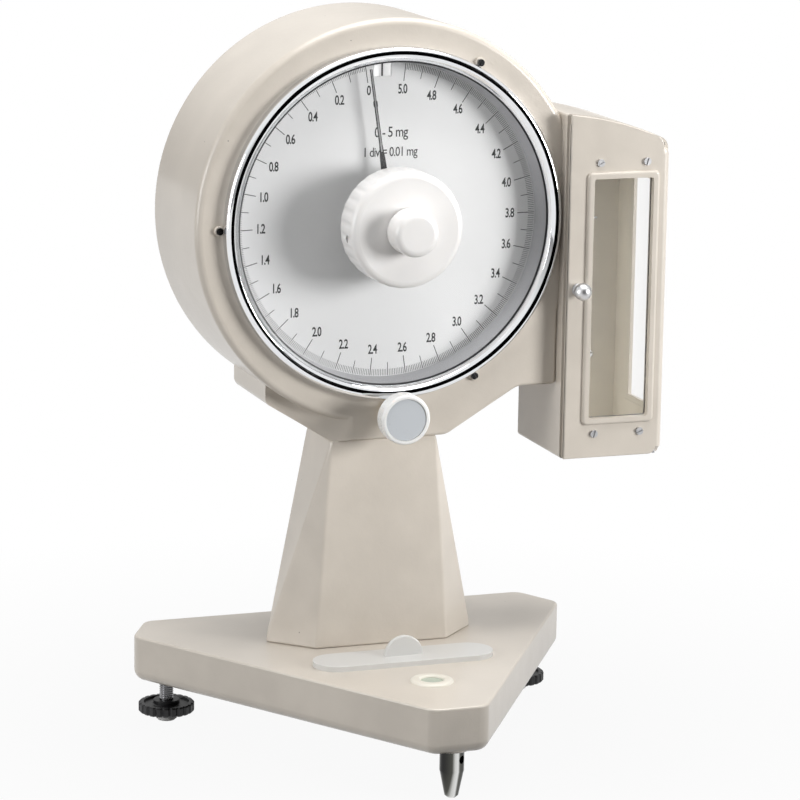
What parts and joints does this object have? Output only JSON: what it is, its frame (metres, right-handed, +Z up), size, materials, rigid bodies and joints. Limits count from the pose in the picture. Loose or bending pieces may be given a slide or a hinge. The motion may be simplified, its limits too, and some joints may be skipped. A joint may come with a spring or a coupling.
{
  "type": "torsion balance",
  "caption": "Torsion balance with a round dial head on a tapered column, a glazed weighing box at the side, a reading knob, a lock knob and a three-footed base.",
  "frame": {"origin": "on the plane the feet rest on, under the centre of the column", "axes": "+X to the right as the user sees the dial, where the weighing box is; +Y to the back; +Z up"},
  "size_m": [0.2924, 0.2122, 0.4075],
  "materials": {
    "casting_paint": "satin",
    "sheet_paint": "satin",
    "chrome": "polished",
    "steel": "satin",
    "aluminium": "satin",
    "brass": "satin",
    "glass": "clear",
    "white_plastic": "gloss",
    "black_plastic": "satin",
    "dial_paint": "matte",
    "ruby": "gloss",
    "vial": "clear",
    "magnet_steel": "matte",
    "needle_black": "satin",
    "spring_steel": "satin"
  },
  "bodies": {
    "stand": {"base_casting": "casting_paint", "column": "casting_paint", "column_bolts": "steel", "front_foot": "steel", "level_ring": "white_plastic", "level_vial": "vial", "housing": "casting_paint", "rear_cover": "casting_paint", "rear_cover_screws": "steel", "bezel": "chrome", "bezel_screws": "chrome", "front_glass": "glass", "reveal_ring": "aluminium", "dial_plate": "dial_paint", "index_screen": "dial_paint", "dial_pillars": "brass", "main_plate": "aluminium", "main_plate_screws": "steel", "front_bridge": "brass", "cock_plate": "brass", "bridge_pillars": "brass", "shaft_bush": "brass", "beam_jewels": "ruby", "damping_magnet": "magnet_steel", "stop_pins": "steel", "arrest_guides": "steel", "lock_bush": "brass", "weigh_box": "sheet_paint", "box_screws": "steel", "side_glass": "glass", "hinge_pin": "steel"},
    "reading_control": {"reading_shaft": "steel", "reading_knob": "white_plastic", "knob_set_screw": "steel", "pointer": "needle_black"},
    "zero_control": {"zero_knob": "white_plastic", "zero_shaft": "steel"},
    "beam": {"hairspring": "spring_steel", "beam_spindle": "steel", "beam_arm": "aluminium", "counterweight": "brass", "index_needle": "needle_black", "damping_vane": "aluminium"},
    "pan": {"weighing_pan": "aluminium"},
    "lock_control": {"lock_shaft": "steel", "lock_knob": "white_plastic", "lock_knob_cap": "aluminium"},
    "arrest": {"arrest_fork": "brass"},
    "door_leaf": {"door": "sheet_paint", "door_glass": "glass", "door_retainer": "steel", "door_screws": "steel", "door_knob": "chrome"},
    "lid": {"tray_lid": "white_plastic"},
    "left_pad": {"left_foot_pad": "black_plastic"},
    "left_foot": {"left_foot_screw": "steel", "left_foot_wheel": "black_plastic"},
    "right_pad": {"right_foot_pad": "black_plastic"},
    "right_foot": {"right_foot_screw": "steel", "right_foot_wheel": "black_plastic"}
  },
  "joints": [
    {"name": "reading_turn", "type": "hinge", "parent": "stand", "child": "reading_control", "pos_m": [0.003, -0.03, 0.294], "axis": [0, -1, 0], "range_deg": [0, 344.5]},
    {"name": "zero_turn", "type": "hinge", "parent": "reading_control", "child": "zero_control", "pos_m": [0.003, -0.05, 0.294], "axis": [0, -1, 0], "range_deg": [-20, 20]},
    {"name": "beam_tilt", "type": "hinge", "parent": "stand", "child": "beam", "pos_m": [0.003, 0.00875, 0.294], "axis": [0, -1, 0], "range_deg": [-1.5, 1.5], "stiffness_Nm_per_rad": 0.02},
    {"name": "pan_swing", "type": "hinge", "parent": "beam", "child": "pan", "pos_m": [0.132, 0.01025, 0.287], "axis": [0, -1, 0], "range_deg": [-12, 12]},
    {"name": "lock_turn", "type": "hinge", "parent": "stand", "child": "lock_control", "pos_m": [0.003, -0.03, 0.1885], "axis": [0, -1, 0], "range_deg": [0, 91]},
    {"name": "arrest_lift", "type": "slide", "parent": "stand", "child": "arrest", "axis": [0, 0, 1], "range_m": [0, 0.0022]},
    {"name": "door_swing", "type": "hinge", "parent": "stand", "child": "door_leaf", "pos_m": [0.1593, -0.032, 0.244], "axis": [0, 0, 1], "range_deg": [0, 110]},
    {"name": "lid_lift", "type": "slide", "parent": "stand", "child": "lid", "axis": [0, 0, 1], "range_m": [0, 0.02]},
    {"name": "left_foot_lift", "type": "slide", "parent": "stand", "child": "left_pad", "axis": [0, 0, 1], "range_m": [-0.00375, 0.00375]},
    {"name": "left_foot_turn", "type": "hinge", "parent": "left_pad", "child": "left_foot", "pos_m": [-0.108, 0.041, 0.008], "axis": [0, 0, 1], "range_deg": [-1081, 1081]},
    {"name": "right_foot_lift", "type": "slide", "parent": "stand", "child": "right_pad", "axis": [0, 0, 1], "range_m": [-0.00375, 0.00375]},
    {"name": "right_foot_turn", "type": "hinge", "parent": "right_pad", "child": "right_foot", "pos_m": [0.108, 0.041, 0.008], "axis": [0, 0, 1], "range_deg": [-1081, 1081]}
  ],
  "couplings": [
    {"joint": "lock_turn", "follows": "arrest_lift", "rad_per_m": 714},
    {"joint": "left_foot_turn", "follows": "left_foot_lift", "rad_per_m": 5026.5},
    {"joint": "right_foot_turn", "follows": "right_foot_lift", "rad_per_m": 5026.5}
  ]
}
